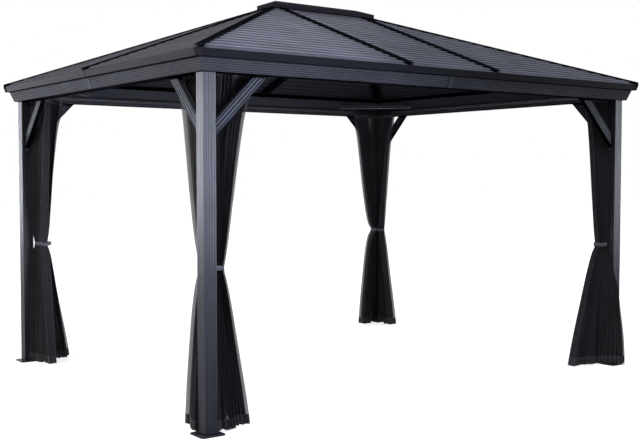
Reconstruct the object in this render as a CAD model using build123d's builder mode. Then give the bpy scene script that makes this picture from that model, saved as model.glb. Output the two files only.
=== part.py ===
from build123d import *
from math import asin, atan, cos, degrees, hypot, pi, sin, sqrt, tan
import os

os.makedirs("parts", exist_ok=True)

# How far cutting shapes run past what they cut
overrun = 150.0

# Frame: plan over the outer faces of the posts, and the height of the opening
frame_length = 3524.0
frame_width = 2782.0
head_height = 1950.0

# Base plates
plate_side = 150.0
plate_thickness = 6.0
plate_corner_cut = 14.0
anchor_margin = 18.0
anchor_diameter = 11.0

# Posts: hollow square extrusions with flutes on each face
post_side = 78.0
post_wall = 2.5
post_bevel = 3.0
flute_count = 4
flute_margin = 15.0
flute_width = 5.0
flute_depth = 1.2

# Corner braces between post and beam, with grooves along both faces
brace_inner_leg = 264.0
brace_width = 58.0
brace_thickness = 34.0
brace_groove_count = 3
brace_groove_depth = 2.0
brace_groove_share = 0.4
brace_foot_reach = 25.0
brace_foot_thickness = 4.0

# Cornice beam: widths go outwards from the posts' outer faces, heights go up from the head
beam_wall = 3.0
band_gap = 21.0
band_lean = 26.0
band_height = 72.0
step_width = 21.0
lip_lean = 11.0
lip_height = 39.0
seat_width = 51.0
reed_count = 6
reed_width = 4.0
reed_depth = 1.2
beam_seam = 1.0
sleeve_length = 40.0
sleeve_thickness = 2.0
corner_cap_leg = 38.0
corner_cap_thickness = 2.0

# Roof: the deck is the plane on which the ribbed panels lie
roof_rise = 544.0
rib_count = 22
rib_height = 9.0
rib_foot_share = 0.4
rib_flank_share = 0.14
sheet_thickness = 1.6
panel_setback = 4.0
panel_gap = 2.0

# Roof bars: a hollow box under the panels, a web between them and a cap over their edges
bar_width = 40.0
bar_depth = 40.0
bar_wall = 2.5
bar_web = 6.0
bar_channel_slack = 1.4
bar_cap_width = 46.0
bar_cap_thickness = 6.0
hub_margin = 2.5
hub_drop = 12.0
ridge_cap_reach = 95.0
ridge_cap_rise = 25.0
ridge_cap_wall = 2.5

# Curtain rails and the ties across the corners of the beams
rail_width = 16.0
rail_height = 24.0
rail_wall = 2.0
rail_slot = 7.0
rail_rise = 20.0
rail_setback = 30.0
tie_bar_leg = 446.0
tie_bar_rise = 72.0
tie_bar_height = 25.0
tie_bar_thickness = 5.0

# Gathered curtains: two wings that spread from the corner at rail and hem, with a strap at the waist
curtain_clearance = 0.3
curtain_inset = 8.0
curtain_depth = 84.0
curtain_rail_spread = 300.0
curtain_shoulder_height = 1500.0
curtain_shoulder_spread = 235.0
curtain_waist_height = 890.0
curtain_waist_spread = 96.0
curtain_skirt_height = 450.0
curtain_skirt_spread = 215.0
curtain_hem_height = 16.0
curtain_hem_spread = 320.0
strap_height = 30.0
strap_thickness = 3.0

# Worked out from the sizes above
up = Vector(0, 0, 1)
half_length = frame_length / 2
half_width = frame_width / 2
post_x = half_length - post_side / 2
post_y = half_width - post_side / 2
inner_x = half_length - post_side
inner_y = half_width - post_side
overhang = band_gap + band_lean + step_width + lip_lean
eave_height = head_height + band_height + lip_height
eave_x = half_length + overhang
eave_y = half_width + overhang
half_ridge = eave_x - eave_y
ridge_height = eave_height + roof_rise
slope_length = hypot(roof_rise, eave_y)
pitch = atan(roof_rise / eave_y)
beam_inner_height = band_height + lip_height + seat_width * tan(pitch)
channel = rib_height + sheet_thickness + bar_channel_slack
cap_top = channel + bar_cap_thickness
hub_apothem = bar_cap_width / 2 / tan(pi / 8) + hub_margin
hub_corner = hub_apothem / cos(pi / 8)
edge_gap = bar_web / 2 + panel_gap

# Places that several pieces share, on the front and left sides
front = Vector(0, -1, 0)
left = Vector(-1, 0, 0)
front_left_eave = Vector(-eave_x, -eave_y, eave_height)
left_peak = Vector(-half_ridge, 0, ridge_height)
beam_top = Plane.XY.offset(head_height + beam_inner_height)


def plan_vector(degrees_round):
    """A unit vector in plan, turned from +X."""
    return Vector(1, 0, 0).rotate(Axis.Z, degrees_round)


def cut(origin, keep_side):
    """An upright plane whose normal points at what is kept."""
    return Plane(origin=origin, z_dir=keep_side)


def write(piece, node):
    """Labels a piece and writes it as a node."""
    piece.label = node
    export_step(piece, f"parts/{node}.step")


def write_mirrored(piece, node, *planes):
    """Writes the mirror image of a piece about one plane, or about two in turn."""
    for plane in planes:
        with BuildPart() as image:
            mirror(piece, about=plane)
        piece = image.part
    write(piece, node)


def write_four(piece, node):
    """Writes a front-left piece and its images at the other corners."""
    write(piece, f"front_left_{node}")
    write_mirrored(piece, f"front_right_{node}", Plane.YZ)
    write_mirrored(piece, f"back_left_{node}", Plane.XZ)
    write_mirrored(piece, f"back_right_{node}", Plane.YZ, Plane.XZ)


# Base plates, each with four anchor holes
with BuildPart() as plate:
    with BuildSketch(Plane((-post_x, -post_y, 0))):
        outline = Rectangle(plate_side, plate_side)
        chamfer(outline.vertices(), plate_corner_cut)
        anchor_spacing = plate_side - 2 * anchor_margin
        with GridLocations(anchor_spacing, anchor_spacing, 2, 2):
            Circle(anchor_diameter / 2, mode=Mode.SUBTRACT)
    extrude(amount=plate_thickness)
write_four(plate.part, "base_plate")

# Posts, from plate to beam
with BuildPart() as post:
    with BuildSketch(Plane((-post_x, -post_y, plate_thickness))):
        outline = Rectangle(post_side, post_side)
        chamfer(outline.vertices(), post_bevel)
        flute_pitch = (post_side - 2 * flute_margin) / (flute_count - 1)
        with PolarLocations(post_side / 2, 4):
            with GridLocations(flute_pitch, flute_pitch, 1, flute_count):
                Rectangle(2 * flute_depth, flute_width, mode=Mode.SUBTRACT)
        bore = post_side - 2 * (post_wall + flute_depth)
        Rectangle(bore, bore, mode=Mode.SUBTRACT)
    extrude(amount=head_height - plate_thickness)
write_four(post.part, "post")


def brace_strip(inner, outer):
    """A strip at 45 degrees between the post's face and the beam's underside."""
    Polygon((0, -inner), (inner, 0), (outer, 0), (0, -outer), align=None)


def brace(origin, inwards):
    """One grooved brace with its feet, on the middle plane of the post."""
    middle = Plane(origin=origin, x_dir=inwards, z_dir=inwards.cross(up))
    outer = brace_inner_leg + brace_width * sqrt(2)
    foot_length = outer + brace_foot_reach - brace_inner_leg
    groove_pitch = (outer - brace_inner_leg) / brace_groove_count
    half_groove = groove_pitch * brace_groove_share / 2
    with BuildPart() as bar:
        with BuildSketch(middle):
            brace_strip(brace_inner_leg, outer)
            with Locations((brace_inner_leg, 0)):
                Rectangle(foot_length, brace_foot_thickness, align=(Align.MIN, Align.MAX))
            with Locations((0, -brace_inner_leg)):
                Rectangle(brace_foot_thickness, foot_length, align=(Align.MIN, Align.MAX))
        extrude(amount=brace_thickness / 2, both=True)
        for face in (brace_thickness / 2, -brace_thickness / 2):
            with BuildSketch(middle.offset(face)):
                for i in range(brace_groove_count):
                    centre = brace_inner_leg + groove_pitch * (i + 1 / 2)
                    brace_strip(centre - half_groove, centre + half_groove)
            extrude(amount=brace_groove_depth, both=True, mode=Mode.SUBTRACT)
    return bar.part


with BuildPart() as braces:
    add(brace((-inner_x, -post_y, head_height), -left))
    add(brace((-post_x, -inner_y, head_height), -front))
write_four(braces.part, "braces")


# Cornice beams: one mitred half for each side, mirrored about the middle
band_foot = (band_gap, 0)
band_head = (band_gap + band_lean, band_height)
lip_foot = (band_gap + band_lean + step_width, band_height)
lip_head = (overhang, band_height + lip_height)


def side_plane(outwards, distance, along):
    """An upright plane across a side: x runs outwards from the posts, y upwards from the head."""
    normal = outwards.cross(up)
    origin = outwards * distance + normal * along + up * head_height
    return Plane(origin=origin, x_dir=outwards, z_dir=normal)


def cornice_half(outwards, distance, half_span):
    """Half of a side's hollow, reeded beam, from the seam to the mitred corner."""
    along = outwards.cross(up)
    corner = outwards * distance + along * half_span
    band_middle = (band_gap + band_lean / 2, band_height / 2)
    band_angle = degrees(atan(band_height / band_lean))
    reed_pitch = hypot(band_height, band_lean) / reed_count
    with BuildPart() as half:
        with BuildSketch(side_plane(outwards, distance, beam_seam / 2)):
            with BuildLine():
                Polyline(
                    band_foot,
                    band_head,
                    lip_foot,
                    lip_head,
                    (overhang - seat_width, beam_inner_height),
                    (-post_side, beam_inner_height),
                    (-post_side, 0),
                    close=True,
                )
            make_face()
            offset(amount=-beam_wall, kind=Kind.INTERSECTION, mode=Mode.SUBTRACT)
            with Locations(Location(band_middle, band_angle)):
                with GridLocations(reed_pitch, reed_pitch, reed_count, 1):
                    Rectangle(reed_width, 2 * reed_depth, mode=Mode.SUBTRACT)
        extrude(amount=half_span + overhang + overrun)
        split(bisect_by=cut(corner, outwards - along), keep=Keep.TOP)
    return half.part


with BuildPart() as front_cornice:
    add(cornice_half(front, half_width, half_length))
    mirror(about=Plane.YZ)
write(front_cornice.part, "front_cornice")
write_mirrored(front_cornice.part, "back_cornice", Plane.XZ)

with BuildPart() as left_cornice:
    add(cornice_half(left, half_length, half_width))
    mirror(about=Plane.XZ)
write(left_cornice.part, "left_cornice")
write_mirrored(left_cornice.part, "right_cornice", Plane.YZ)


def skin(thickness, *points):
    """The section of a folded sheet that lies on the outside of the cornice."""
    with BuildSketch() as sheet:
        with BuildLine():
            Polyline(*points)
            offset(amount=thickness, kind=Kind.INTERSECTION, side=Side.RIGHT)
        make_face()
    return sheet.sketch


# Sleeves over the seams at the middle of each side
with BuildPart() as sleeves:
    for outwards, distance in ((front, half_width), (left, half_length)):
        with BuildSketch(side_plane(outwards, distance, 0)):
            add(skin(sleeve_thickness, band_foot, band_head, lip_foot, lip_head))
        extrude(amount=sleeve_length / 2, both=True)
    mirror(about=Plane.XZ)
    mirror(about=Plane.YZ)
write(sleeves.part, "cornice_splice_sleeves")

# Caps folded round the corners of the lip
with BuildPart() as corner_caps:
    along_front = front.cross(up)
    lip_corner = Vector(-half_length, -half_width)
    start = half_length + overhang - corner_cap_leg
    with BuildSketch(side_plane(front, half_width, start)):
        add(skin(corner_cap_thickness, lip_foot, lip_head))
    extrude(amount=corner_cap_leg + overrun)
    split(bisect_by=cut(lip_corner, front - along_front), keep=Keep.TOP)
    mirror(about=cut(lip_corner, front - along_front))
    mirror(about=Plane.YZ)
    mirror(about=Plane.XZ)
write(corner_caps.part, "cornice_corner_caps")


def ribbed_sheet(outwards, eave_distance, half_span):
    """A whole slope of ribbed sheet, whose ribs run along the eave."""
    along_slope = up * sin(pitch) - outwards * cos(pitch)
    eave_middle = outwards * eave_distance + up * eave_height
    rib_pitch = (slope_length - panel_setback) / rib_count
    foot = rib_pitch * rib_foot_share
    flank = rib_pitch * rib_flank_share
    lower = []
    for i in range(rib_count):
        start = panel_setback + i * rib_pitch
        lower += [(start, 0), (start + foot, 0)]
        lower += [(start + foot + flank, rib_height), (start + rib_pitch - flank, rib_height)]
    lower.append((slope_length, 0))
    upper = [(s, n + sheet_thickness) for s, n in reversed(lower)]
    with BuildPart() as slope:
        with BuildSketch(Plane(origin=eave_middle, x_dir=along_slope, z_dir=up.cross(outwards))):
            with BuildLine():
                Polyline(*lower, *upper, close=True)
            make_face()
        extrude(amount=half_span, both=True)
    return slope.part


def trim(*cuts):
    """Cuts the part that is being built, and keeps what lies ahead of each plane."""
    for plane in cuts:
        split(bisect_by=plane, keep=Keep.TOP)


def apex_cut(peak, direction, distance):
    """The plane that keeps a panel's tip clear of the hub."""
    return cut(peak + direction * (distance + panel_gap), direction)


# Roof panels, cut at the hips, the rafters and the hubs
hip_normal = plan_vector(-45)
right_peak = Vector(half_ridge, 0, ridge_height)

with BuildPart() as front_left_panel:
    add(ribbed_sheet(front, eave_y, eave_x))
    trim(
        cut(front_left_eave + hip_normal * edge_gap, hip_normal),
        cut(left_peak + left * edge_gap, left),
        apex_cut(left_peak, plan_vector(247.5), hub_corner),
    )
write(front_left_panel.part, "front_left_roof_panel")
write_mirrored(front_left_panel.part, "front_right_roof_panel", Plane.YZ)
write_mirrored(front_left_panel.part, "back_left_roof_panel", Plane.XZ)
write_mirrored(front_left_panel.part, "back_right_roof_panel", Plane.YZ, Plane.XZ)

with BuildPart() as front_centre_panel:
    add(ribbed_sheet(front, eave_y, eave_x))
    trim(
        cut(left_peak - left * edge_gap, -left),
        cut(right_peak + left * edge_gap, left),
        cut(front * edge_gap, front),
        apex_cut(left_peak, plan_vector(-45), hub_apothem),
        apex_cut(right_peak, plan_vector(-135), hub_apothem),
    )
write(front_centre_panel.part, "front_centre_roof_panel")
write_mirrored(front_centre_panel.part, "back_centre_roof_panel", Plane.XZ)

with BuildPart() as left_front_panel:
    add(ribbed_sheet(left, eave_x, eave_y))
    trim(
        cut(front_left_eave - hip_normal * edge_gap, -hip_normal),
        cut(front * edge_gap, front),
        apex_cut(left_peak, plan_vector(202.5), hub_corner),
    )
write(left_front_panel.part, "left_front_roof_panel")
write_mirrored(left_front_panel.part, "left_back_roof_panel", Plane.XZ)
write_mirrored(left_front_panel.part, "right_front_roof_panel", Plane.YZ)
write_mirrored(left_front_panel.part, "right_back_roof_panel", Plane.YZ, Plane.XZ)


def peaked(width, bottom, top, fall, mode=Mode.ADD):
    """A section with parallel peaked faces: bottom and top are heights on the centre line."""
    side = width / 2
    drop = side * tan(fall)
    Polygon(
        (0, bottom),
        (side, bottom - drop),
        (side, top - drop),
        (0, top),
        (-side, top - drop),
        (-side, bottom - drop),
        align=None,
        mode=mode,
    )


def roof_bar(start, along, across, fall, ends):
    """A bar that runs up from the eave, with its faces falling away on both sides."""
    section = Plane(origin=start - along * overrun, x_dir=across, z_dir=along)
    reach = hypot(eave_x, eave_y) + overrun
    inner_width = bar_width - 2 * bar_wall
    inner_bottom = (bar_wall - bar_depth) / cos(fall)
    with BuildPart() as bar:
        with BuildSketch(section):
            peaked(bar_width, -bar_depth / cos(fall), 0, fall)
            peaked(inner_width, inner_bottom, -bar_wall / cos(fall), fall, Mode.SUBTRACT)
        extrude(amount=reach)
        trim(beam_top)
        with BuildSketch(section):
            peaked(bar_cap_width, channel / cos(fall), cap_top / cos(fall), fall)
            peaked(bar_web, 0, (channel + bar_cap_thickness / 2) / cos(fall), fall)
        extrude(amount=reach)
        trim(*ends)
    return bar.part


def hub_face(direction):
    """The hub's face that a bar butts against, seen from the bar."""
    return cut(left_peak + direction * hub_apothem, direction)


front_eave = cut(front_left_eave, -front)
left_eave = cut(front_left_eave, -left)

# Hip bars
with BuildPart() as hip:
    along_hip = (left_peak - front_left_eave).normalized()
    hip_fall = asin(sin(pitch) / sqrt(2))
    hip_ends = (front_eave, left_eave, hub_face(plan_vector(225)))
    add(roof_bar(front_left_eave, along_hip, -hip_normal, hip_fall, hip_ends))
write_four(hip.part, "hip_bar")

# Rafters on the long slopes
with BuildPart() as front_rafters:
    rafter_foot = Vector(-half_ridge, -eave_y, eave_height)
    along_rafter = (left_peak - rafter_foot).normalized()
    add(roof_bar(rafter_foot, along_rafter, left, 0, (front_eave, hub_face(front))))
    mirror(about=Plane.YZ)
write(front_rafters.part, "front_rafters")
write_mirrored(front_rafters.part, "back_rafters", Plane.XZ)

# Rafters at the ends
with BuildPart() as end_rafters:
    rafter_foot = Vector(-eave_x, 0, eave_height)
    along_rafter = (left_peak - rafter_foot).normalized()
    add(roof_bar(rafter_foot, along_rafter, -front, 0, (left_eave, hub_face(left))))
    mirror(about=Plane.YZ)
write(end_rafters.part, "end_rafters")

# Hubs where the bars meet
with BuildPart() as hubs:
    hub_bottom = ridge_height - hub_apothem * tan(pitch) - bar_depth / cos(pitch)
    with BuildSketch(Plane((-half_ridge, 0, hub_bottom))):
        RegularPolygon(hub_apothem, 8, major_radius=False, rotation=22.5)
    extrude(amount=ridge_height - hub_drop - hub_bottom)
    mirror(about=Plane.YZ)
write(hubs.part, "ridge_hubs")

# Ridge beam between the hubs
with BuildPart() as ridge_beam:
    with BuildSketch(Plane((0, 0, ridge_height), x_dir=-front, z_dir=-left)):
        peaked(bar_width, -bar_depth / cos(pitch), 0, pitch)
    extrude(amount=half_ridge - hub_apothem, both=True)
write(ridge_beam.part, "ridge_beam")


def hip_block(lift, reach):
    """A block with a hipped top, lifted square to the deck, that reaches past the ridge in plan."""
    top = ridge_height + lift / cos(pitch)
    floor = top - roof_rise
    side = top - reach * tan(pitch)
    half_x = half_ridge + reach
    with BuildPart() as block:
        with BuildSketch(Plane.YZ):
            Polygon((-reach, floor), (reach, floor), (reach, side), (0, top), (-reach, side), align=None)
        extrude(amount=half_x, both=True)
        with BuildSketch(Plane.XZ):
            Polygon(
                (-half_x, floor),
                (half_x, floor),
                (half_x, side),
                (half_ridge, top),
                (-half_ridge, top),
                (-half_x, side),
                align=None,
            )
        extrude(amount=reach, both=True, mode=Mode.INTERSECT)
    return block.part


# Ridge cap: a hipped lid whose rim stands on the bars
with BuildPart() as ridge_cap:
    add(hip_block(cap_top + ridge_cap_rise, ridge_cap_reach))
    add(
        hip_block(cap_top + ridge_cap_rise - ridge_cap_wall, ridge_cap_reach - ridge_cap_wall),
        mode=Mode.SUBTRACT,
    )
    add(hip_block(cap_top, ridge_cap_reach + overrun), mode=Mode.SUBTRACT)
write(ridge_cap.part, "ridge_cap")

# Curtain rails: channels open below, fixed to the inner faces of the beams
with BuildPart() as rails:
    for outwards, distance, span in ((front, half_width, inner_x), (left, half_length, inner_y)):
        with BuildSketch(side_plane(outwards, distance, 0)):
            with Locations((-post_side, rail_rise)):
                Rectangle(rail_width, rail_height, align=(Align.MAX, Align.MIN))
            with Locations((-post_side - rail_width / 2, rail_rise + rail_wall)):
                Rectangle(
                    rail_width - 2 * rail_wall,
                    rail_height - 2 * rail_wall,
                    align=(Align.CENTER, Align.MIN),
                    mode=Mode.SUBTRACT,
                )
            with Locations((-post_side - rail_width / 2, rail_rise)):
                Rectangle(rail_slot, 2 * rail_wall, mode=Mode.SUBTRACT)
        extrude(amount=span - rail_setback, both=True)
    mirror(about=Plane.XZ)
    mirror(about=Plane.YZ)
write(rails.part, "curtain_rails")

# Flat bars that tie the beams together across each corner
with BuildPart() as tie_bars:
    inner_corner = Vector(-inner_x, -inner_y, head_height + tie_bar_rise)
    tie_middle = inner_corner - (front + left) * (tie_bar_leg / 2)
    with BuildSketch(Plane(origin=tie_middle, x_dir=plan_vector(45), z_dir=hip_normal)):
        Rectangle(tie_bar_thickness, tie_bar_height)
    extrude(amount=tie_bar_leg, both=True)
    trim(cut(inner_corner, -front), cut(inner_corner, -left))
    mirror(about=Plane.YZ)
    mirror(about=Plane.XZ)
write(tie_bars.part, "corner_ties")


# Curtains, gathered round the inner corners of the posts
waist_bottom = curtain_waist_height - strap_height / 2
waist_top = curtain_waist_height + strap_height / 2
curtain_stations = (
    (curtain_rail_spread, head_height + rail_rise - curtain_clearance),
    (curtain_shoulder_spread, curtain_shoulder_height),
    (curtain_waist_spread, waist_top),
    (curtain_waist_spread, waist_bottom),
    (curtain_skirt_spread, curtain_skirt_height),
    (curtain_hem_spread, curtain_hem_height),
)
curtain_corner = Vector(curtain_inset - inner_x, curtain_inset - inner_y)
curtain_top = curtain_stations[0][1]


def curtain_wing(along, across):
    """One wing of a gathered curtain, which spreads along one beam from the corner."""
    with BuildPart() as wing:
        with BuildSketch(Plane(origin=curtain_corner, x_dir=along, z_dir=along.cross(up))):
            Polygon((0, curtain_hem_height), (0, curtain_top), *curtain_stations, align=None)
        extrude(dir=across, amount=curtain_depth)
    return wing.part


with BuildPart() as curtain:
    add(curtain_wing(-left, -front))
    add(curtain_wing(-front, -left))
write_four(curtain.part, "curtain")

# Straps round the waists
with BuildPart() as straps:
    for spread, mode in ((curtain_clearance + strap_thickness, Mode.ADD), (curtain_clearance, Mode.SUBTRACT)):
        with BuildSketch(Plane((curtain_corner.X, curtain_corner.Y, waist_bottom))):
            Rectangle(curtain_waist_spread, curtain_depth, align=Align.MIN)
            Rectangle(curtain_depth, curtain_waist_spread, align=Align.MIN)
            offset(amount=spread, kind=Kind.INTERSECTION)
        extrude(amount=strap_height, mode=mode)
    mirror(about=Plane.YZ)
    mirror(about=Plane.XZ)
write(straps.part, "curtain_straps")
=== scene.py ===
import random
from collections import namedtuple
from math import cos, pi, radians, sin, tau

import bmesh
import bpy
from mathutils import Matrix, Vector


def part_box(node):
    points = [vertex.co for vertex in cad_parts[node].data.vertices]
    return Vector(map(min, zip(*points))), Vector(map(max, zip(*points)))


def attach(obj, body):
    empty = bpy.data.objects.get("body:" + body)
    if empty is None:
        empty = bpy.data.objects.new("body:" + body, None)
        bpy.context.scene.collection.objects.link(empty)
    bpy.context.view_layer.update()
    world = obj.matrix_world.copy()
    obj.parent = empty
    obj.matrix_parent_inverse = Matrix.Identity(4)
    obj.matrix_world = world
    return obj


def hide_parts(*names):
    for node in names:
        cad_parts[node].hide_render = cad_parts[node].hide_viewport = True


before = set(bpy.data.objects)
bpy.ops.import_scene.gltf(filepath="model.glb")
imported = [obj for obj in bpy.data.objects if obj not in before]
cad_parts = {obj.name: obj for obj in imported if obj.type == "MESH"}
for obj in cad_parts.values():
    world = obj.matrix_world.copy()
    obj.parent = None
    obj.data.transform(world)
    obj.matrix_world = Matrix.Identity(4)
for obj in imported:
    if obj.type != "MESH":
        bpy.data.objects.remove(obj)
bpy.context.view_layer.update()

scene = bpy.context.scene
scene.view_settings.view_transform = "Standard"

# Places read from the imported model, in metres
up = Vector((0, 0, 1))
inner_x, inner_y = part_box("back_right_post")[0][:2]
rail_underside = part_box("curtain_rails")[0][2]
lip_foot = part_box("cornice_corner_caps")[0][2]
waist_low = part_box("curtain_straps")[0][2]
waist_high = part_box("curtain_straps")[1][2]
waist_middle = (waist_low + waist_high) / 2

# Which side of the middle each corner is on, in x and in y
corners = {
    "front_left": (-1, -1),
    "front_right": (1, -1),
    "back_left": (-1, 1),
    "back_right": (1, 1),
}


def add_node(tree, kind, sockets=None, **settings):
    """Adds a node, sets it, and fills its sockets with values or with other nodes' outputs."""
    node = tree.nodes.new(kind)
    for name, value in settings.items():
        setattr(node, name, value)
    for key, value in (sockets or {}).items():
        if isinstance(value, bpy.types.NodeSocket):
            tree.links.new(value, node.inputs[key])
        else:
            node.inputs[key].default_value = value
    return node


def linear(colour):
    """An sRGB hex colour as linear red, green, blue and alpha."""
    channels = [int(colour[i : i + 2], 16) / 255 for i in (0, 2, 4)]
    return [c / 12.92 if c <= 0.04045 else ((c + 0.055) / 1.055) ** 2.4 for c in channels] + [1.0]


def new_material(name):
    """An empty node material."""
    material = bpy.data.materials.new(name)
    material.use_nodes = True
    material.node_tree.nodes.clear()
    return material, material.node_tree


# Coated metals: the sizes of their patches, of their dull and bright specks and of their uneven skin
cloud_size = 0.25
cloud_low = 0.35
cloud_high = 0.65
grit_size = 0.009
grit_roughness = 0.08
peel_size = 0.005
peel_height = 0.00015
peel_strength = 0.25

# Where the painted edges and the painted shade on undersides start and are full, as cosines, and how
# open a face is where the painted shade in recesses starts
edge_start = 0.99
edge_full = 0.75
recess_start = 0.97
underside_start = -0.37
underside_full = -0.45


def coated_metal(
    name,
    body,
    patch,
    painted_edge,
    recess_shade,
    edge_width,
    recess_size,
    recess_full,
    rough,
    shine,
    reverse_and_shade=None,
    inner_shade=None,
    upper_shade=None,
    upper_height=0.0,
    stretch=(1, 1, 1),
):
    """A coat over metal: faint patches, a fine uneven skin, painted edges and painted shade in
    recesses.

    Edges have a painted highlight where their colour is pale and a painted shadow where it is dark.
    Recesses and undersides get painted shade and lose their gloss; on the roof sheets the undersides
    take a dark coat of their own, which also paints the shade under the roof. Where shades are given
    for faces that look towards the middle and for outward faces above a height, they paint shade
    there. The uneven skin of such a coat is 1 to 2 mm across, and is drawn at 5 mm so that it shows.
    """
    material, tree = new_material(name)
    place = add_node(tree, "ShaderNodeTexCoord").outputs["Object"]
    stretched = add_node(tree, "ShaderNodeMapping", {"Vector": place, "Scale": stretch}).outputs[0]
    cloud = add_node(
        tree, "ShaderNodeTexNoise", {"Vector": stretched, "Scale": 1 / cloud_size, "Detail": 4.0}
    ).outputs[0]
    grit = add_node(
        tree, "ShaderNodeTexNoise", {"Vector": place, "Scale": 1 / grit_size, "Detail": 2.0}
    ).outputs[0]
    peel = add_node(
        tree, "ShaderNodeTexNoise", {"Vector": place, "Scale": 1 / peel_size, "Detail": 1.0}
    ).outputs[0]

    rounded = add_node(tree, "ShaderNodeBevel", {"Radius": edge_width}, samples=6).outputs[0]
    flat = add_node(tree, "ShaderNodeNewGeometry").outputs["Normal"]
    turn = add_node(
        tree, "ShaderNodeVectorMath", {0: rounded, 1: flat}, operation="DOT_PRODUCT"
    ).outputs["Value"]
    edge = add_node(
        tree, "ShaderNodeMapRange", {"Value": turn, "From Min": edge_start, "From Max": edge_full}
    ).outputs[0]
    openness = add_node(
        tree, "ShaderNodeAmbientOcclusion", {"Distance": recess_size}, samples=8
    ).outputs["AO"]
    recess = add_node(
        tree,
        "ShaderNodeMapRange",
        {"Value": openness, "From Min": recess_start, "From Max": recess_full},
    ).outputs[0]
    tilt = add_node(tree, "ShaderNodeSeparateXYZ", {0: flat}).outputs["Z"]
    underside = add_node(
        tree,
        "ShaderNodeMapRange",
        {"Value": tilt, "From Min": underside_start, "From Max": underside_full},
    ).outputs[0]

    spread = add_node(
        tree, "ShaderNodeMapRange", {"Value": cloud, "From Min": cloud_low, "From Max": cloud_high}
    ).outputs[0]
    shaded = add_node(
        tree, "ShaderNodeMix", {0: spread, 6: linear(body), 7: linear(patch)}, data_type="RGBA"
    ).outputs[2]
    # Painted shade on faces that look towards the middle and on outward faces above a height
    if inner_shade and upper_shade:
        outwards = add_node(
            tree, "ShaderNodeVectorMath", {0: flat, 1: place}, operation="DOT_PRODUCT"
        ).outputs["Value"]
        outer = add_node(
            tree, "ShaderNodeMath", {0: outwards, 1: 0.0}, operation="GREATER_THAN"
        ).outputs[0]
        height = add_node(tree, "ShaderNodeSeparateXYZ", {0: place}).outputs["Z"]
        high = add_node(
            tree, "ShaderNodeMath", {0: height, 1: upper_height}, operation="GREATER_THAN"
        ).outputs[0]
        above = add_node(
            tree, "ShaderNodeMath", {0: high, 1: outer}, operation="MULTIPLY"
        ).outputs[0]
        shaded = add_node(
            tree, "ShaderNodeMix", {0: outer, 6: linear(inner_shade), 7: shaded}, data_type="RGBA"
        ).outputs[2]
        shaded = add_node(
            tree, "ShaderNodeMix", {0: above, 6: shaded, 7: linear(upper_shade)}, data_type="RGBA"
        ).outputs[2]
    # Edge colour along the edges: a painted highlight where it is pale, a painted shadow where it is
    # dark
    with_painted_edges = add_node(
        tree, "ShaderNodeMix", {0: edge, 6: shaded, 7: linear(painted_edge)}, data_type="RGBA"
    ).outputs[2]
    # Painted shade on undersides; on the roof sheets a dark coat of their own, which also paints the
    # shade
    with_underside_shade = add_node(
        tree,
        "ShaderNodeMix",
        {0: underside, 6: with_painted_edges, 7: linear(reverse_and_shade or recess_shade)},
        data_type="RGBA",
    ).outputs[2]
    # Painted shade in recesses, also beside the bars that stand over the roof sheets
    colour = add_node(
        tree, "ShaderNodeMix", {0: recess, 6: with_underside_shade, 7: linear(recess_shade)}, data_type="RGBA"
    ).outputs[2]
    roughness = add_node(
        tree,
        "ShaderNodeMapRange",
        {"Value": grit, "To Min": rough - grit_roughness, "To Max": rough + grit_roughness},
    ).outputs[0]
    # No gloss in the painted shade of recesses and undersides
    gloss = shine
    if shine:
        hidden = add_node(
            tree, "ShaderNodeMath", {0: recess, 1: underside}, operation="MAXIMUM"
        ).outputs[0]
        gloss = add_node(
            tree, "ShaderNodeMapRange", {"Value": hidden, "To Min": shine, "To Max": 0.0}
        ).outputs[0]
    skin = add_node(
        tree,
        "ShaderNodeBump",
        {"Height": peel, "Normal": rounded, "Strength": peel_strength, "Distance": peel_height},
    ).outputs[0]
    surface = add_node(
        tree,
        "ShaderNodeBsdfPrincipled",
        {"Base Color": colour, "Roughness": roughness, "Specular IOR Level": gloss, "Normal": skin},
    )
    add_node(tree, "ShaderNodeOutputMaterial", {"Surface": surface.outputs[0]})
    return material


# Coats below: pale edge colours paint highlights, dark ones paint shadow; recess colours paint shade
# Charcoal polyester powder coat on aluminium extrusions: an even satin grey, with painted shade in the
# flutes and painted highlights on the edges
charcoal_coat = coated_metal(
    "charcoal_powder_coat",
    body="26272d", patch="2c2d33", painted_edge="5c5e68", recess_shade="16171b",
    edge_width=0.0012, recess_size=0.006, recess_full=0.74, rough=0.32, shine=0.100,
)

# The same coat, duller, on the cornices, with painted shade darkening the lip and, slightly, the faces
# that look inwards
cornice_coat = coated_metal(
    "charcoal_powder_coat_on_cornices",
    body="3a3b40", patch="424348", painted_edge="5c5e67", recess_shade="101114",
    edge_width=0.0012, recess_size=0.006, recess_full=0.86, rough=0.40, shine=0.015,
    inner_shade="35363b", upper_shade="18181c", upper_height=lip_foot,
)

# The same coat on the braces, pale on the lands, with painted shadow in the grooves and along their
# edges, drawn wide so that it shows
groove_coat = coated_metal(
    "charcoal_powder_coat_on_grooves",
    body="383b42", patch="40434b", painted_edge="0a0b0e", recess_shade="06070a",
    edge_width=0.0027, recess_size=0.020, recess_full=0.88, rough=0.34, shine=0.025,
)

# Baked enamel on rolled steel sheet: bluer and duller, with painted highlights on the rib tops, painted
# shadow in the rib valleys beside the bars, faint streaks down the slope, and a dark coat on the
# undersides which also paints the shade under the roof
streaks = (1, 1, 0.3)
backing_and_shade = "2a282d"
roof_enamel = coated_metal(
    "baked_enamel_steel",
    body="404249", patch="4c4e57", painted_edge="80838f", recess_shade="141418",
    edge_width=0.0045, recess_size=0.045, recess_full=0.58, rough=0.48, shine=0.025,
    reverse_and_shade=backing_and_shade, stretch=streaks,
)

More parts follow.
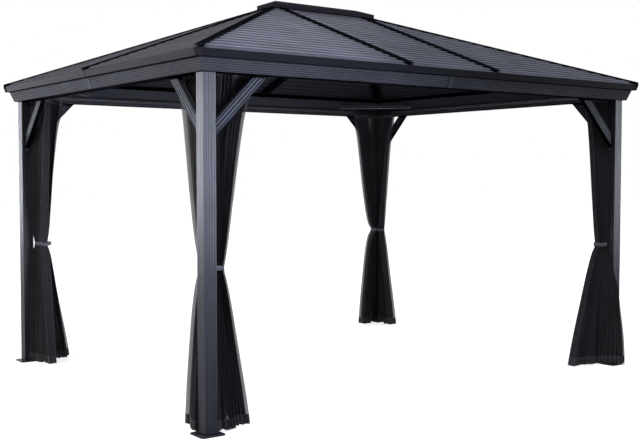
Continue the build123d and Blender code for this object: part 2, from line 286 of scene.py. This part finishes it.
# The same enamel on the end slopes, painted darker, warmer and without gloss as their shade
shaded_end_enamel = coated_metal(
    "baked_enamel_steel_shaded_ends",
    body="454549", patch="4f4f53", painted_edge="74757c", recess_shade="141418",
    edge_width=0.0045, recess_size=0.045, recess_full=0.50, rough=0.60, shine=0.0,
    reverse_and_shade=backing_and_shade, stretch=streaks,
)

# Black powder coat on the roof's bars and the gliders: nearly black and dull
black_coat = coated_metal(
    "black_powder_coat",
    body="08090c", patch="0c0d10", painted_edge="3a3b42", recess_shade="060608",
    edge_width=0.0016, recess_size=0.010, recess_full=0.60, rough=0.65, shine=0.0,
)

# The same black coat on the ridge cap, made a lighter, brown black
cap_coat = coated_metal(
    "black_powder_coat_on_ridge",
    body="252328", patch="2b292e", painted_edge="46444a", recess_shade="0c0b0d",
    edge_width=0.0020, recess_size=0.010, recess_full=0.60, rough=0.65, shine=0.0,
)

# Moulded black ABS of the cornice's corner caps: a dull, slightly brown black
cap_plastic = coated_metal(
    "moulded_abs",
    body="211f21", patch="252325", painted_edge="3c3a3e", recess_shade="0e0d0f",
    edge_width=0.0015, recess_size=0.006, recess_full=0.60, rough=0.55, shine=0.0,
)

# Zinc-plated steel of the tie bars: painted dark for the shade of the roof, with wide painted
# highlights on the edges
zinc_plate = coated_metal(
    "zinc_plated_steel",
    body="1d1e21", patch="232427", painted_edge="d2d4d8", recess_shade="141517",
    edge_width=0.0070, recess_size=0.006, recess_full=0.60, rough=0.40, shine=0.20,
)

# Grey-black anodised aluminium of the curtain rails and their clips: smooth, with a low gloss
dark_anodised = coated_metal(
    "anodised_aluminium",
    body="2d2c31", patch="333237", painted_edge="56575e", recess_shade="121215",
    edge_width=0.0020, recess_size=0.006, recess_full=0.60, rough=0.40, shine=0.25,
)


def knitted_netting():
    """Black polyester netting: sheer in one layer, black where folds lie over each other.

    Its real holes are 1.2 mm across, and are drawn at 6 mm so that the net shows as a net.
    """
    hole_width = 0.006
    hole_height = 0.005
    half_thread = 0.00062
    hole_cover = 0.80
    thread_cover = 0.98
    dark_yarn = "18171b"
    pale_yarn = "262429"
    dye_patches = 14.0
    material, tree = new_material("black_polyester_netting")
    cloth = add_node(tree, "ShaderNodeUVMap", uv_map="cloth").outputs[0]
    net = add_node(
        tree,
        "ShaderNodeTexBrick",
        {
            "Vector": cloth,
            "Scale": 1.0,
            "Mortar Size": half_thread,
            "Mortar Smooth": 0.3,
            "Brick Width": hole_width,
            "Row Height": hole_height,
        },
        offset=0.5,
    ).outputs["Fac"]
    uneven = add_node(
        tree, "ShaderNodeTexNoise", {"Vector": cloth, "Scale": dye_patches, "Detail": 3.0}
    ).outputs[0]
    colour = add_node(
        tree,
        "ShaderNodeMix",
        {0: uneven, 6: linear(dark_yarn), 7: linear(pale_yarn)},
        data_type="RGBA",
    ).outputs[2]
    cover = add_node(
        tree, "ShaderNodeMapRange", {"Value": net, "To Min": hole_cover, "To Max": thread_cover}
    ).outputs[0]
    surface = add_node(
        tree,
        "ShaderNodeBsdfPrincipled",
        {
            "Base Color": colour,
            "Roughness": 0.75,
            "Specular IOR Level": 0.2,
            "Sheen Weight": 0.03,
            "Alpha": cover,
        },
    )
    add_node(tree, "ShaderNodeOutputMaterial", {"Surface": surface.outputs[0]})
    return material


def woven_band(name, warp_colour, weft_colour):
    """A woven polyester band with slanting ribs, dull and slightly fuzzy.

    The ribs of the real weave are 1 mm apart, and are drawn 25 mm apart along the band so that they
    show. A diagonal wave at a scale of 1 repeats every 0.63 m.
    """
    rib_scale = 25.0
    rib_height = 0.0006
    fuzz_specks = 60.0
    material, tree = new_material(name)
    cloth = add_node(tree, "ShaderNodeUVMap", uv_map="cloth").outputs[0]
    ribs = add_node(
        tree,
        "ShaderNodeTexWave",
        {"Vector": cloth, "Scale": rib_scale, "Distortion": 0.6, "Detail": 2.0},
        bands_direction="DIAGONAL",
    ).outputs["Fac"]
    fuzz = add_node(
        tree, "ShaderNodeTexNoise", {"Vector": cloth, "Scale": fuzz_specks, "Detail": 3.0}
    ).outputs[0]
    threads = add_node(
        tree,
        "ShaderNodeMix",
        {0: ribs, 6: linear(warp_colour), 7: linear(weft_colour)},
        data_type="RGBA",
    ).outputs[2]
    rough = add_node(
        tree, "ShaderNodeMapRange", {"Value": fuzz, "To Min": 0.7, "To Max": 0.9}
    ).outputs[0]
    relief = add_node(
        tree, "ShaderNodeBump", {"Height": ribs, "Strength": 0.5, "Distance": rib_height}
    ).outputs[0]
    surface = add_node(
        tree,
        "ShaderNodeBsdfPrincipled",
        {
            "Base Color": threads,
            "Roughness": rough,
            "Specular IOR Level": 0.25,
            "Sheen Weight": 0.15,
            "Normal": relief,
        },
    )
    add_node(tree, "ShaderNodeOutputMaterial", {"Surface": surface.outputs[0]})
    return material


netting = knitted_netting()
# Black binding tape at the hems and headings: opaque, a little paler than the folded net
binding_tape = woven_band("woven_binding_tape", "1e1e21", "2c2c30")
# Grey webbing of the tie-backs: the palest cloth, so that the waists stand out
webbing = woven_band("woven_webbing", "3c3c41", "58585e")


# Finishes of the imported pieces
def dress(material, *nodes):
    """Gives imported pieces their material."""
    for node in nodes:
        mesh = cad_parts[node].data
        mesh.materials.clear()
        mesh.materials.append(material)


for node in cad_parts:
    if node.endswith("roof_panel"):
        dress(shaded_end_enamel if node.startswith(("left", "right")) else roof_enamel, node)
    elif node.endswith(("_cornice", "splice_sleeves")):
        dress(cornice_coat, node)
    elif node.endswith(("hip_bar", "rafters")) or node.startswith("ridge"):
        dress(black_coat, node)
    elif not node.endswith("curtain"):
        dress(charcoal_coat, node)
dress(zinc_plate, "corner_ties")
dress(cap_plastic, "cornice_corner_caps")
dress(cap_coat, "ridge_cap")
dress(groove_coat, *[f"{corner}_braces" for corner in corners])
dress(dark_anodised, "curtain_rails")


def new_piece(name, vertices, faces, material, cloth=None, smooth=True):
    """A mesh piece whose place is in its mesh, with cloth coordinates where it has them."""
    mesh = bpy.data.meshes.new(name)
    mesh.from_pydata(vertices, [], faces)
    mesh.materials.append(material)
    mesh.polygons.foreach_set("use_smooth", [smooth] * len(mesh.polygons))
    if cloth:
        layer = mesh.uv_layers.new(name="cloth")
        for loop in mesh.loops:
            layer.data[loop.index].uv = cloth[loop.vertex_index]
    mesh.update()
    piece = bpy.data.objects.new(name, mesh)
    scene.collection.objects.link(piece)
    return piece


def grid_faces(rows, columns):
    """The faces of a grid of points, row by row."""
    faces = []
    for row in range(rows):
        for column in range(columns - 1):
            a = row * columns + column
            faces.append((a, a + 1, a + columns + 1, a + columns))
    return faces


def face_outwards(piece):
    """Turns the faces of a closed mesh outwards."""
    work = bmesh.new()
    work.from_mesh(piece.data)
    bmesh.ops.recalc_face_normals(work, faces=work.faces)
    work.to_mesh(piece.data)
    work.free()


def settle(piece):
    """Fixes a finished piece to the frame."""
    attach(piece, "root")


# Gathered nets: two at each corner, one from the long rail and one from the short rail
net_drop = 1.95
long_net_width = 1.75
short_net_width = 1.38
rail_gap = 0.002
net_top = rail_underside - rail_gap
hem_clearance = 0.009
hem_scallop = 0.006
scallop_rate = 1.7
hem_height = 0.056
heading_height = 0.032
tape_thickness = 0.0016
net_rows = 64
band_rows = 3
pleat_columns = 10
plain_columns = 18
inner_limit = 0.006
least_depth = 0.002
sheet_gap = 0.003
net_start = 0.006
rail_depth = 0.058
skirt_depth = 0.088

# Pleats on the post's side of the flap and beyond it, how far they stand out and sink in as shares
# of the depth, how much they wander and lean, and the spare cloth in the plain edge
long_net_folds = (7, 10)
short_net_folds = (6, 8)
crest_least = 0.72
valley_most = 0.22
wander_share = 0.22
wander_rate = 2.1
lean_share = 0.22
edge_slack = 1.15

# A flap of wide folds in each net, which the skirt pushes out and which is flatter at the hem
flap_width = 0.062
flap_folds = 3
flap_push = 0.045
flap_reach = 0.75
flap_edge = 4
flap_ripple = 0.5
flap_flattening = 0.7
flap_flat_from = 0.85

# Below the braces the folds by the post swell out into the opening
brace_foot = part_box("front_left_braces")[0][2]
swell_above = 0.020
swell_below = 0.055
swell_share = 0.4
swell_fall = 0.15
swell_rate = 4

# One net is tied close to its post, and its skirt spreads round it
post_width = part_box("back_right_post")[1][0] - inner_x
tied_swell = 0.033
wrap_share = 0.28
wrap_rate = 1.6
wrap_from = 0.1
wrap_full = 0.5
wrap_out = 0.085
wrap_round = 0.085
round_from = 0.35
wrap_clearance = 0.008

# How far the gathers have opened, from the waist up to the rail and down to the hem
opening_above = (
    (0.0, 0.0),
    (0.04, 0.05),
    (0.35, 0.30),
    (0.60, 0.50),
    (0.80, 0.70),
    (0.93, 0.93),
    (1.0, 1.0),
)
opening_below = ((0.0, 0.0), (0.06, 0.10), (0.50, 0.55), (0.95, 0.97), (1.0, 1.0))

# A line down a net: its place across the flat cloth, its share of the spread, the fold that it is in,
# whether it hangs plain, and its place in the flap's folds
Column = namedtuple("Column", "across spread fold plain hump")


def read_curve(curve, share):
    """Reads a rising row of points with a smooth curve that doesn't overshoot."""
    slopes = [(b[1] - a[1]) / (b[0] - a[0]) for a, b in zip(curve, curve[1:])]
    tangents = [slopes[0]]
    tangents += [2 * s * t / (s + t) if s * t > 0 else 0.0 for s, t in zip(slopes, slopes[1:])]
    tangents.append(slopes[-1])
    share = min(max(share, curve[0][0]), curve[-1][0])
    last = len(curve) - 2
    i = next((k for k in range(last) if share <= curve[k + 1][0]), last)
    (x0, y0), (x1, y1) = curve[i], curve[i + 1]
    span = x1 - x0
    t = (share - x0) / span
    rise = (3 - 2 * t) * t * t
    lift = t * (1 - t) ** 2 * tangents[i] - t * t * (1 - t) * tangents[i + 1]
    return y0 + (y1 - y0) * rise + lift * span


def ease(low, high, value):
    """A smooth step from 0 at low to 1 at high."""
    t = min(max((value - low) / (high - low), 0.0), 1.0)
    return t * t * (3 - 2 * t)


def hang_net(
    name,
    corner,
    along_long_side,
    waist,
    rail_reach,
    hem_reach,
    fullness,
    edge_share,
    folds_added,
    wraps_post,
    skirt_out,
    seed,
):
    """One pleated net: a sheet that zigzags out from the post, gathered at the waist.

    Returns the places at the rail where its pleats are hooked up.
    """
    side_x, side_y = corners[corner]
    width = long_net_width if along_long_side else short_net_width
    fold_counts = long_net_folds if along_long_side else short_net_folds
    folds_before, folds_after = (count + folds_added for count in fold_counts)
    folds = folds_before + folds_after
    waist_reach, waist_depth = waist
    fullness_above, fullness_below = fullness

    # The plain edge hangs without a valley
    draw = random.Random(seed)
    crests = [draw.uniform(crest_least, 1.0) for _ in range(folds + 2)]
    valleys = [draw.uniform(0.0, valley_most) for _ in range(folds + 2)]
    valleys[-2:] = (0.0, 0.0)
    drift = draw.uniform(0.0, tau)

    flap_share = flap_width / hem_reach
    flap_cloth = flap_width * flap_folds
    edge_cloth = edge_share * hem_reach * edge_slack
    pleat_cloth = (width - flap_cloth - edge_cloth) / folds
    pleat_share = (1 - flap_share - edge_share) / folds
    flap_middle = pleat_share * folds_before + flap_share / 2

    # From the post outwards: pleats, the flap, more pleats and the plain edge
    columns = []
    across, spread, fold = 0.0, 0.0, 0
    for count, plain_cloth, share in (
        (folds_before, 0, pleat_share),
        (1, flap_cloth, flap_share),
        (folds_after, 0, pleat_share),
        (1, edge_cloth, edge_share),
    ):
        for _ in range(count):
            steps = plain_columns if plain_cloth else pleat_columns
            length = plain_cloth or pleat_cloth
            for step in range(steps):
                t = step / steps
                columns.append(
                    Column(
                        across=across + length * t,
                        spread=spread + share * t,
                        fold=fold if plain_cloth else fold + t,
                        plain=bool(plain_cloth),
                        hump=flap_folds * t if plain_cloth == flap_cloth else 0.0,
                    )
                )
            across += length
            spread += share
            fold += 0 if plain_cloth else 1
    columns.append(Column(across, spread, fold, plain=True, hump=0.0))

    def place(column, height):
        """A point of the sheet, at a column and a height."""
        _, spread, fold, plain, hump = column
        if height > waist_middle:
            share = max(height - waist_high, 0) / (net_top - waist_high)
            opened = read_curve(opening_above, share) ** fullness_above
            depth = waist_depth + (rail_depth - waist_depth) * opened
            reach = waist_reach + (rail_reach - waist_reach) * opened
        else:
            share = max(waist_low - height, 0) / (waist_low - hem_clearance)
            opened = read_curve(opening_below, share) ** fullness_below
            depth = waist_depth + (skirt_depth - waist_depth) * opened
            reach = waist_reach + (hem_reach - waist_reach) * opened

        # Where the point is in its fold, and how far along the rail
        wander = wander_share * opened * sin(wander_rate * height + drift) * sin(pi * spread)
        phase = fold if plain else fold + wander * sin(tau * fold / 2) ** 2
        wave = 0.5 - 0.5 * cos(tau * (phase + hump))
        if hump and height < waist_middle:
            wave *= 1 - flap_flattening * ease(flap_flat_from, 1.0, opened)
        lean = lean_share * (reach - net_start) / folds * sin(2 * tau * phase) * opened
        along = net_start + (reach - net_start) * spread + (0 if plain else lean)
        crest = crests[int(phase)]
        valley = valleys[int(phase + 0.5)]

        # How far the fold may sink towards the opening and stand out into the room
        tied = tied_swell if wraps_post else 0.0
        free = swell_above + (swell_below - swell_above) * ease(0, swell_fall, brace_foot - height)
        swell = tied + (free - tied) * min(1.0, swell_rate * opened)
        swell *= max(0.0, 1 - spread / swell_share)
        low = inner_limit - swell
        high = min(depth, along - sheet_gap)
        if wraps_post and height < waist_middle:
            nearness = max(0.0, 1 - spread / wrap_share)
            wrapped = min(1.0, wrap_rate * nearness) * ease(wrap_from, wrap_full, opened)
            along -= wrap_round * nearness * ease(round_from, 1.0, opened)
            low -= wrap_out * wrapped
            high += (-post_width - wrap_clearance - high) * wrapped
        out = low + max(high - low, least_depth) * (valley + (crest - valley) * wave)
        if height < waist_middle:
            away = abs(spread - flap_middle) / (flap_share * flap_reach)
            pushed = max(0.0, 1 - away**flap_edge) * opened**2
            out -= flap_push * pushed * (1 - flap_ripple * wave) + skirt_out * opened
        p, q = (along, out) if along_long_side else (out, along)
        return (side_x * (inner_x - p), side_y * (inner_y - q), height)

    def hem_line(column):
        """The height of the hem, which rises and falls with the folds."""
        return hem_clearance + hem_scallop * (0.5 + 0.5 * sin(scallop_rate * column.fold + drift))

    vertices, cloth = [], []
    for row in range(net_rows + 1):
        down = row / net_rows
        for column in columns:
            height = net_top + (hem_line(column) - net_top) * down
            vertices.append(place(column, height))
            cloth.append((column.across, net_drop * (1 - down)))
    net = new_piece(name, vertices, grid_faces(net_rows, len(columns)), netting, cloth)

    band_vertices, band_faces, band_cloth = [], [], []
    for at_hem, band_height in ((True, hem_height), (False, heading_height)):
        first = len(band_vertices)
        for row in range(band_rows + 1):
            rise = band_height * row / band_rows
            for column in columns:
                foot = hem_line(column) if at_hem else net_top - heading_height
                band_vertices.append(place(column, foot + rise))
                band_cloth.append((column.across, rise))
        band_faces += [[first + i for i in face] for face in grid_faces(band_rows, len(columns))]
    bands = new_piece(f"{name}_bindings", band_vertices, band_faces, binding_tape, band_cloth)
    thicken = bands.modifiers.new("tape", "SOLIDIFY")
    thicken.thickness = tape_thickness
    thicken.offset = 0

    settle(net)
    settle(bands)
    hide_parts(f"{corner}_curtain")
    hooked = [column for column in columns if not column.plain and column.fold == int(column.fold)]
    return [place(column, net_top) for column in hooked]


# Each net's waist, its reach from the post at the rail and at the hem, how early it opens above and
# below the waist (less than 1 is earlier), the share of it that hangs as a plain edge, folds added,
# whether its skirt spreads round the post, and how far its hem hangs outwards
full_waist = (0.097, 0.094)
net_shapes = {
    ("front_left", True): (full_waist, 0.300, 0.245, (1.0, 1.0), 0.05, 0, False, 0.025),
    ("front_left", False): (full_waist, 0.360, 0.215, (0.6, 0.5), 0.10, 0, False, 0.045),
    ("front_right", True): ((0.062, 0.054), 0.200, 0.330, (0.9, 0.9), 0.03, 4, True, 0.0),
    ("front_right", False): ((0.056, 0.050), 0.150, 0.270, (0.9, 0.9), 0.03, 4, False, 0.0),
    ("back_left", True): (full_waist, 0.245, 0.270, (1.0, 1.0), 0.17, 0, False, 0.0),
    ("back_left", False): (full_waist, 0.270, 0.270, (1.0, 1.0), 0.05, 0, False, 0.0),
    ("back_right", True): (full_waist, 0.310, 0.245, (0.6, 0.55), 0.015, 0, False, 0.0),
    ("back_right", False): (full_waist, 0.240, 0.270, (1.0, 1.0), 0.015, 0, False, 0.0),
}

hook_points = []
for seed, ((corner, along_long_side), shape) in enumerate(net_shapes.items()):
    side = "long" if along_long_side else "short"
    points = hang_net(f"{corner}_{side}_net", corner, along_long_side, *shape, seed)
    hook_points.append((corner, along_long_side, points))


# Tie-backs: webbing wound once round each waist. Each ring is its near and far distances from the
# post's inner faces, along x and then along y
strap_near = 0.0045
strap_far = 0.1035
strap_rings = {corner: (strap_near, strap_far, strap_near, strap_far) for corner in corners}
strap_rings["front_right"] = (strap_near, 0.068, -0.030, 0.062)
strap_corner = 0.026
strap_thickness = 0.0022
strap_height = 0.026
strap_steps = 8
strap_step_length = 0.0105

# The strap's section, in shares of its height and thickness, and the waves of its dips round the waist
strap_section = ((-0.5, 0.0), (-0.5, 0.6), (-0.44, 1.0), (0.44, 1.0), (0.5, 0.6), (0.5, 0.0))
strap_dips = ((3, 0.002), (7, 0.0015))


def strap_path(near_p, far_p, near_q, far_q):
    """The closed line round a waist: places and the way that each one faces."""
    points = []
    middles = (
        (far_p - strap_corner, far_q - strap_corner),
        (near_p + strap_corner, far_q - strap_corner),
        (near_p + strap_corner, near_q + strap_corner),
        (far_p - strap_corner, near_q + strap_corner),
    )
    for turn, (p, q) in enumerate(middles):
        for step in range(strap_steps + 1):
            angle = (turn + step / strap_steps) * pi / 2
            points.append((p + strap_corner * cos(angle), q + strap_corner * sin(angle), angle))
    return points


def wind_straps():
    """All four tie-backs as one piece."""
    vertices, faces, cloth = [], [], []
    around = len(strap_section)
    for corner, ring in strap_rings.items():
        side_x, side_y = corners[corner]
        line = strap_path(*ring)
        total = len(line)
        first = len(vertices)
        for index, (p, q, angle) in enumerate(line):
            dip = sum(depth * sin(waves * angle) for waves, depth in strap_dips)
            for rise, out in strap_section:
                x = side_x * (inner_x - p - strap_thickness * out * cos(angle))
                y = side_y * (inner_y - q - strap_thickness * out * sin(angle))
                vertices.append((x, y, waist_middle + strap_height * rise + dip))
                cloth.append((index * strap_step_length, strap_height * rise))
        for index in range(total):
            for k in range(around):
                a = first + index * around + k
                b = first + index * around + (k + 1) % around
                c = first + (index + 1) % total * around + (k + 1) % around
                d = first + (index + 1) % total * around + k
                faces.append((a, b, c, d))
    straps = new_piece("curtain_tie_backs", vertices, faces, webbing, cloth)
    face_outwards(straps)
    settle(straps)
    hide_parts("curtain_straps")


wind_straps()


# Small repeated fittings, each grown on marked points by a node tree
def grow(name, marks, sizes, shape, material):
    """Sets a small shape on each mark: a place, the way that it faces and the way that it runs."""
    tree = bpy.data.node_groups.new(name, "GeometryNodeTree")
    tree.interface.new_socket("Geometry", in_out="INPUT", socket_type="NodeSocketGeometry")
    named = {
        size: tree.interface.new_socket(size, in_out="INPUT", socket_type="NodeSocketFloat")
        for size in sizes
    }
    tree.interface.new_socket("Geometry", in_out="OUTPUT", socket_type="NodeSocketGeometry")
    given = add_node(tree, "NodeGroupInput").outputs
    facing = add_node(
        tree, "GeometryNodeInputNamedAttribute", {"Name": "facing"}, data_type="FLOAT_VECTOR"
    ).outputs[0]
    running = add_node(
        tree, "GeometryNodeInputNamedAttribute", {"Name": "running"}, data_type="FLOAT_VECTOR"
    ).outputs[0]
    turned = add_node(
        tree, "FunctionNodeAlignRotationToVector", {"Vector": facing}, axis="Z"
    ).outputs[0]
    turned = add_node(
        tree,
        "FunctionNodeAlignRotationToVector",
        {"Rotation": turned, "Vector": running},
        axis="X",
        pivot_axis="Z",
    ).outputs[0]
    dots = add_node(tree, "GeometryNodeMeshToPoints", {"Mesh": given["Geometry"]}).outputs[0]
    copies = add_node(
        tree,
        "GeometryNodeInstanceOnPoints",
        {"Points": dots, "Instance": shape(tree, given), "Rotation": turned},
    ).outputs[0]
    real = add_node(tree, "GeometryNodeRealizeInstances", {"Geometry": copies}).outputs[0]
    finished = add_node(
        tree, "GeometryNodeSetMaterial", {"Geometry": real, "Material": material}
    ).outputs[0]
    add_node(tree, "NodeGroupOutput", {"Geometry": finished})

    mesh = bpy.data.meshes.new(name)
    mesh.from_pydata([mark[0] for mark in marks], [], [])
    for index, attribute in ((1, "facing"), (2, "running")):
        values = mesh.attributes.new(attribute, "FLOAT_VECTOR", "POINT")
        for point, mark in zip(values.data, marks):
            point.vector = mark[index]
    piece = bpy.data.objects.new(name, mesh)
    scene.collection.objects.link(piece)
    modifier = piece.modifiers.new(name, "NODES")
    modifier.node_group = tree
    for size, value in sizes.items():
        modifier[named[size].identifier] = value
    grown = piece.evaluated_get(bpy.context.evaluated_depsgraph_get())
    plain = bpy.data.meshes.new_from_object(grown)
    piece.modifiers.clear()
    piece.data = plain
    settle(piece)


def clip_shape(tree, given):
    """A clip plate on the face of a rail, with a screw head near its top."""
    plate_size = add_node(
        tree,
        "ShaderNodeCombineXYZ",
        {"X": given["width"], "Y": given["height"], "Z": given["thickness"]},
    ).outputs[0]
    plate = add_node(tree, "GeometryNodeMeshCube", {"Size": plate_size}).outputs["Mesh"]
    screw = add_node(
        tree,
        "GeometryNodeMeshCone",
        {
            "Vertices": 10,
            "Radius Top": given["screw top"],
            "Radius Bottom": given["screw foot"],
            "Depth": given["thickness"],
        },
    ).outputs["Mesh"]
    lift = add_node(
        tree, "ShaderNodeCombineXYZ", {"Y": given["screw rise"], "Z": given["thickness"]}
    ).outputs[0]
    lifted = add_node(
        tree, "GeometryNodeTransform", {"Geometry": screw, "Translation": lift}
    ).outputs[0]
    both = add_node(tree, "GeometryNodeJoinGeometry", {"Geometry": plate})
    tree.links.new(lifted, both.inputs[0])
    return both.outputs[0]


def glider_shape(tree, given):
    """A rail glider: a stem through the rail's slot, with a tapered foot at its lower end."""
    stem = add_node(
        tree,
        "GeometryNodeMeshCylinder",
        {"Vertices": 8, "Radius": given["stem radius"], "Depth": given["stem length"]},
    ).outputs["Mesh"]
    rise = add_node(tree, "ShaderNodeCombineXYZ", {"Z": given["stem rise"]}).outputs[0]
    raised = add_node(
        tree, "GeometryNodeTransform", {"Geometry": stem, "Translation": rise}
    ).outputs[0]
    foot = add_node(
        tree,
        "GeometryNodeMeshCone",
        {
            "Vertices": 8,
            "Radius Top": given["stem radius"],
            "Radius Bottom": given["foot radius"],
            "Depth": given["foot height"],
        },
    ).outputs["Mesh"]
    both = add_node(tree, "GeometryNodeJoinGeometry", {"Geometry": raised})
    tree.links.new(foot, both.inputs[0])
    return both.outputs[0]


# Clips along the inner faces of the rails, clear of the corners
rail_width = 0.016
clip_pitch = 0.27
clip_end_gap = 0.30
clip_thickness = 0.0025
clip_height = 0.034
clip_below_rail = 0.003
clip_marks = []
for outwards, distance, half_span in (
    (Vector((0, -1, 0)), inner_y, inner_x),
    (Vector((0, 1, 0)), inner_y, inner_x),
    (Vector((-1, 0, 0)), inner_x, inner_y),
    (Vector((1, 0, 0)), inner_x, inner_y),
):
    along = outwards.cross(up)
    count = int((half_span - clip_end_gap) / clip_pitch)
    rail_face = outwards * (distance - rail_width - clip_thickness / 2)
    clip_rise = up * (rail_underside + clip_height / 2 - clip_below_rail)
    for index in range(-count, count + 1):
        clip_place = rail_face + along * (index * clip_pitch) + clip_rise
        clip_marks.append((clip_place, -outwards, along))
grow(
    "rail_clips",
    clip_marks,
    {
        "width": 0.013,
        "height": clip_height,
        "thickness": clip_thickness,
        "screw top": 0.0028,
        "screw foot": 0.0042,
        "screw rise": 0.010,
    },
    clip_shape,
    dark_anodised,
)

# A glider in the middle of the rail over each hooked pleat
glider_inset = rail_width / 2
glider_running = Vector((1, 0, 0))
glider_marks = []
for corner, along_long_side, points in hook_points:
    side_x, side_y = corners[corner]
    for x, y, _ in points:
        if along_long_side:
            glider_place = Vector((x, side_y * (inner_y - glider_inset), rail_underside))
        else:
            glider_place = Vector((side_x * (inner_x - glider_inset), y, rail_underside))
        glider_marks.append((glider_place, up, glider_running))
grow(
    "rail_gliders",
    glider_marks,
    {
        "stem radius": 0.002,
        "stem length": 0.012,
        "stem rise": 0.004,
        "foot radius": 0.0045,
        "foot height": 0.004,
    },
    glider_shape,
    black_coat,
)


# Floor and world: white to the camera and in reflections, with the object's soft shadow kept
floor_half = 40.0
floor_glow = 0.80
floor_near = 3.0
floor_far = 7.5
floor_tone = "b4b4b6"
floor_patches = 3.0
world_tone = "f4f6fa"
world_level = 0.36


def background_rays(tree):
    """1 for the rays that see the background: from the camera, in reflections and through glass."""
    path = add_node(tree, "ShaderNodeLightPath").outputs
    seen = add_node(
        tree,
        "ShaderNodeMath",
        {0: path["Is Camera Ray"], 1: path["Is Glossy Ray"]},
        operation="MAXIMUM",
    ).outputs[0]
    return add_node(
        tree, "ShaderNodeMath", {0: seen, 1: path["Is Transmission Ray"]}, operation="MAXIMUM"
    ).outputs[0]


def white_floor():
    """Pale painted floor: it keeps the object's shadow, and glows only where the background is seen."""
    material, tree = new_material("pale_floor_paint")
    grain = add_node(tree, "ShaderNodeTexCoord").outputs["Object"]
    mottle = add_node(
        tree, "ShaderNodeTexNoise", {"Vector": grain, "Scale": floor_patches, "Detail": 2.0}
    ).outputs[0]
    rough = add_node(
        tree, "ShaderNodeMapRange", {"Value": mottle, "To Min": 0.85, "To Max": 0.95}
    ).outputs[0]
    paint = add_node(
        tree,
        "ShaderNodeBsdfPrincipled",
        {"Base Color": linear(floor_tone), "Roughness": rough, "Specular IOR Level": 0.0},
    ).outputs[0]
    distance = add_node(
        tree, "ShaderNodeVectorMath", {0: grain}, operation="LENGTH"
    ).outputs["Value"]
    level = add_node(
        tree,
        "ShaderNodeMapRange",
        {
            "Value": distance,
            "From Min": floor_near,
            "From Max": floor_far,
            "To Min": floor_glow,
            "To Max": 1.0,
        },
        interpolation_type="SMOOTHSTEP",
    ).outputs[0]
    strength = add_node(
        tree, "ShaderNodeMath", {0: background_rays(tree), 1: level}, operation="MULTIPLY"
    ).outputs[0]
    glow = add_node(tree, "ShaderNodeEmission", {"Strength": strength}).outputs[0]
    both = add_node(tree, "ShaderNodeAddShader", {0: paint, 1: glow}).outputs[0]
    add_node(tree, "ShaderNodeOutputMaterial", {"Surface": both})
    return material


floor = new_piece(
    "studio_floor",
    [
        (-floor_half, -floor_half, 0),
        (floor_half, -floor_half, 0),
        (floor_half, floor_half, 0),
        (-floor_half, floor_half, 0),
    ],
    [(0, 1, 2, 3)],
    white_floor(),
    smooth=False,
)

world = bpy.data.worlds.new("white_studio")
world.use_nodes = True
sky = world.node_tree
sky.nodes.clear()
soft = add_node(
    sky, "ShaderNodeBackground", {"Color": linear(world_tone), "Strength": world_level}
).outputs[0]
white = add_node(
    sky, "ShaderNodeBackground", {"Color": linear("ffffff"), "Strength": 1.0}
).outputs[0]
shown = add_node(
    sky, "ShaderNodeMixShader", {0: background_rays(sky), 1: soft, 2: white}
).outputs[0]
add_node(sky, "ShaderNodeOutputWorld", {"Surface": shown})
scene.world = world


def soft_box(name, place, target, width, height, power, tint, spread):
    """A rectangular studio lamp that the camera doesn't see."""
    lamp = bpy.data.lights.new(name, "AREA")
    lamp.shape = "RECTANGLE"
    lamp.size = width
    lamp.size_y = height
    lamp.energy = power
    lamp.color = linear(tint)[:3]
    lamp.spread = radians(spread)
    box = bpy.data.objects.new(name, lamp)
    box.location = place
    box.rotation_euler = (Vector(target) - Vector(place)).to_track_quat("-Z", "Y").to_euler()
    box.visible_camera = False
    scene.collection.objects.link(box)


# Each lamp's place, what it points at, its width and height, its power in watts, tint and spread
cool = "ebeffd"
blue = "dfe7ff"
warm = "fff6ee"
soft_box("key_panel", (-8.0, -1.8, 4.9), (-1.5, -0.8, 2.6), 2.0, 2.0, 150, warm, 120)
soft_box("top_panel", (0.5, -4.0, 6.5), (0.0, -0.5, 2.2), 5.0, 3.0, 260, cool, 180)
soft_box("right_panel", (9.0, 2.5, 2.6), (1.5, 0.0, 1.8), 3.0, 2.0, 220, cool, 180)
soft_box("rear_panel", (3.6, 5.4, 5.9), (-0.2, 0.2, 2.2), 3.0, 2.0, 130, cool, 180)
soft_box("back_left_panel", (-4.5, 7.0, 6.0), (-0.3, 0.6, 2.2), 3.0, 2.0, 320, cool, 180)
soft_box("floor_panel", (-0.4, -0.9, 0.08), (-0.8, 1.3, 2.3), 1.4, 1.0, 48, cool, 120)
soft_box("near_post_left_strip", (-6.5, 5.1, 1.8), (-1.76, -1.35, 1.7), 1.0, 2.2, 41, cool, 45)
soft_box("left_post_left_strip", (-4.5, 8.9, 1.7), (-1.76, 1.35, 1.7), 0.7, 2.4, 12, cool, 45)
soft_box("near_post_front_strip", (2.45, -7.0, 1.8), (-1.7, -1.39, 1.7), 1.0, 2.2, 34, blue, 30)
soft_box("right_post_front_strip", (7.3, -5.6, 1.7), (1.72, -1.39, 1.7), 0.7, 2.4, 9, cool, 30)

# Camera where the photograph was taken from
camera_place = Vector((-4.414, -6.030, 1.400))
camera_yaw = radians(53.63)
camera_pitch = radians(-2.61)
camera_lens = 56.38
camera_sensor = 36.0
ahead = Vector((cos(camera_yaw), sin(camera_yaw), 0))
gaze = ahead * cos(camera_pitch) + up * sin(camera_pitch)
camera = bpy.data.objects.new("photograph_camera", bpy.data.cameras.new("photograph_camera"))
camera.data.lens = camera_lens
camera.data.sensor_width = camera_sensor
camera.location = camera_place
camera.rotation_euler = gaze.to_track_quat("-Z", "Y").to_euler()
scene.collection.objects.link(camera)
scene.camera = camera
